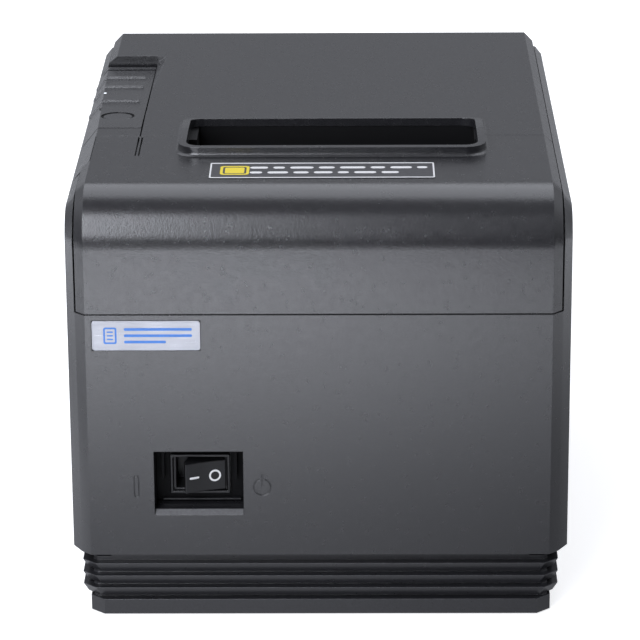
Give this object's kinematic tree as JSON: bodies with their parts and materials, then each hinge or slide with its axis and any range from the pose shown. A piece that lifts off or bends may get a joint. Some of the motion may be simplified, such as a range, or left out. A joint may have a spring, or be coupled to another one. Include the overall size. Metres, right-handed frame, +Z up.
{
  "type": "receipt printer",
  "caption": "Desktop receipt printer for 80 mm thermal paper, with clamshell lid, cutter under a slide-forward cover, rocker switch and feed button.",
  "frame": {"origin": "centre of the footprint, on the table under the rubber feet", "axes": "+X to the printer's right seen from the front, +Y to the back, +Z up; the front face is at -Y"},
  "size_m": [0.145, 0.19, 0.1317],
  "materials": {
    "casing": "fine spark-eroded texture",
    "base_plastic": "fine texture",
    "inner_plastic": "moulded, semi-matt",
    "switch_plastic": "satin black",
    "plate": "brushed silver",
    "label": "printed film",
    "steel": "rolled sheet",
    "hardened_steel": "ground",
    "zinc": "zinc plated",
    "heatsink": "as extruded",
    "ceramic": "glazed",
    "roller_rubber": "ground",
    "foot_rubber": "moulded",
    "gear_plastic": "natural acetal",
    "brass": "machined",
    "board": "solder mask"
  },
  "bodies": {
    "housing": {"base_tray": "base_plastic", "foot_front_left": "foot_rubber", "foot_front_right": "foot_rubber", "foot_rear_left": "foot_rubber", "foot_rear_right": "foot_rubber", "base_screw_front_left": "zinc", "base_screw_front_right": "zinc", "base_screw_rear_left": "zinc", "base_screw_rear_right": "zinc", "housing_shell": "casing", "name_plate": "plate", "roll_bucket": "inner_plastic", "paper_sensor": "switch_plastic", "control_panel": "casing", "status_led_paper": "gear_plastic", "status_led_error": "gear_plastic", "status_led_power": "gear_plastic", "panel_board": "board", "switch_body": "switch_plastic", "hinge_pin": "hardened_steel", "print_frame": "steel", "paper_motor": "zinc", "cutter_frame": "steel", "cutter_motor": "zinc", "main_board": "board", "dc_jack": "switch_plastic", "drawer_jack": "switch_plastic", "usb_port": "steel", "lan_port": "steel", "cover_switch": "switch_plastic", "head_cable": "gear_plastic"},
    "lid": {"lid": "casing", "lid_inner_frame": "inner_plastic", "fixed_blade": "hardened_steel", "platen_bush_left": "brass", "platen_bush_right": "brass"},
    "cover": {"cutter_cover": "casing", "cover_label": "label"},
    "button": {"feed_button": "casing"},
    "rocker": {"power_rocker": "switch_plastic"},
    "head": {"head_heatsink": "heatsink", "print_head": "ceramic", "head_spring_left": "hardened_steel", "head_spring_right": "hardened_steel"},
    "latch": {"lid_latch": "steel"},
    "platen": {"platen_roller": "roller_rubber", "platen_shaft": "hardened_steel", "platen_gear": "gear_plastic"},
    "idler": {"reduction_gear": "gear_plastic"},
    "motor_shaft": {"motor_pinion": "brass"},
    "cutter_gear": {"cutter_wheel": "gear_plastic"},
    "cutter_motor_shaft": {"cutter_motor_pinion": "brass"},
    "blade": {"moving_blade": "hardened_steel"}
  },
  "joints": [
    {"name": "lid_hinge", "type": "hinge", "parent": "housing", "child": "lid", "pos_m": [0, 0.087, 0.104], "axis": [-1, 0, 0], "range_deg": [0, 75]},
    {"name": "cover_slide", "type": "slide", "parent": "housing", "child": "cover", "axis": [0, -1, 0], "range_m": [0, 0.028]},
    {"name": "feed_press", "type": "slide", "parent": "housing", "child": "button", "axis": [0, 0, -1], "range_m": [0, 0.001]},
    {"name": "rocker_tilt", "type": "hinge", "parent": "housing", "child": "rocker", "pos_m": [-0.0349, -0.0866, 0.0429], "axis": [0, 0, -1], "range_deg": [0, 40]},
    {"name": "head_pivot", "type": "hinge", "parent": "housing", "child": "head", "pos_m": [0, -0.0335, 0.086], "axis": [1, 0, 0], "range_deg": [0, 4]},
    {"name": "latch_pivot", "type": "hinge", "parent": "housing", "child": "latch", "pos_m": [0, -0.01, 0.09], "axis": [-1, 0, 0], "range_deg": [0, 15]},
    {"name": "platen_spin", "type": "hinge", "parent": "lid", "child": "platen", "pos_m": [0, -0.022, 0.101], "axis": [1, 0, 0], "continuous": true},
    {"name": "reduction_spin", "type": "hinge", "parent": "housing", "child": "idler", "pos_m": [0, -0.034, 0.08022], "axis": [1, 0, 0], "continuous": true},
    {"name": "motor_spin", "type": "hinge", "parent": "housing", "child": "motor_shaft", "pos_m": [0, -0.04885, 0.06537], "axis": [1, 0, 0], "continuous": true},
    {"name": "cutter_turn", "type": "hinge", "parent": "housing", "child": "cutter_gear", "pos_m": [0, -0.058, 0.1065], "axis": [-1, 0, 0], "range_deg": [0, 76]},
    {"name": "cutter_motor_spin", "type": "hinge", "parent": "housing", "child": "cutter_motor_shaft", "pos_m": [0, -0.06931, 0.09519], "axis": [-1, 0, 0], "range_deg": [-130, 130]},
    {"name": "blade_slide", "type": "slide", "parent": "housing", "child": "blade", "axis": [0, 1, 0], "range_m": [0, 0.008]}
  ],
  "couplings": [
    {"joint": "reduction_spin", "follows": "platen_spin", "ratio": -0.6},
    {"joint": "motor_spin", "follows": "platen_spin", "ratio": 1.5},
    {"joint": "cutter_motor_spin", "follows": "cutter_turn", "ratio": -1.6667},
    {"joint": "blade_slide", "follows": "cutter_turn", "m_per_rad": 0.006}
  ]
}
